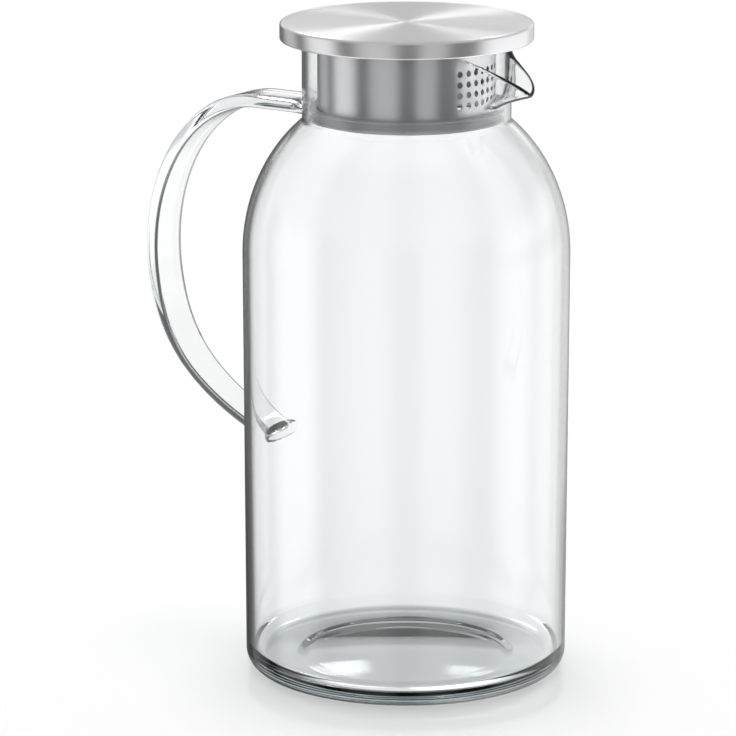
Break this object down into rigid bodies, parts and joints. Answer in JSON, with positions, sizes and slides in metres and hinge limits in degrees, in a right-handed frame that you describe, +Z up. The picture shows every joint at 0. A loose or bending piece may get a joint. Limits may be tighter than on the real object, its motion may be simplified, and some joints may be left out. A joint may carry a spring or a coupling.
{
  "type": "glass carafe",
  "caption": "Tall straight-sided glass carafe with a domed shoulder, pouring lip, flat strap handle and a flat steel lid whose perforated sleeve seals in the neck.",
  "frame": {"origin": "centre of the base, on the plane that the carafe stands on", "axes": "+Z up the body's axis, +X towards the pouring lip, -X towards the handle, +Y to the left when looking along +X"},
  "size_m": [0.1803, 0.1254, 0.2529],
  "materials": {
    "glass": "clear, fire polished",
    "steel": "turned and brushed stainless steel",
    "silicone": "translucent grey silicone, satin"
  },
  "bodies": {
    "glass": {"glass_body": "glass", "glass_handle": "glass"},
    "seal": {"seal_ring": "silicone"},
    "lid": {"lid_cap": "steel", "lid_base_plate": "steel", "strainer_sleeve": "steel"}
  },
  "joints": [
    {"name": "lid_lift", "type": "slide", "parent": "glass", "child": "seal", "axis": [0, 0, 1], "range_m": [0, 0.06]},
    {"name": "lid_turn", "type": "hinge", "parent": "seal", "child": "lid", "pos_m": [0, 0, 0.232], "axis": [0, 0, 1], "continuous": true}
  ]
}
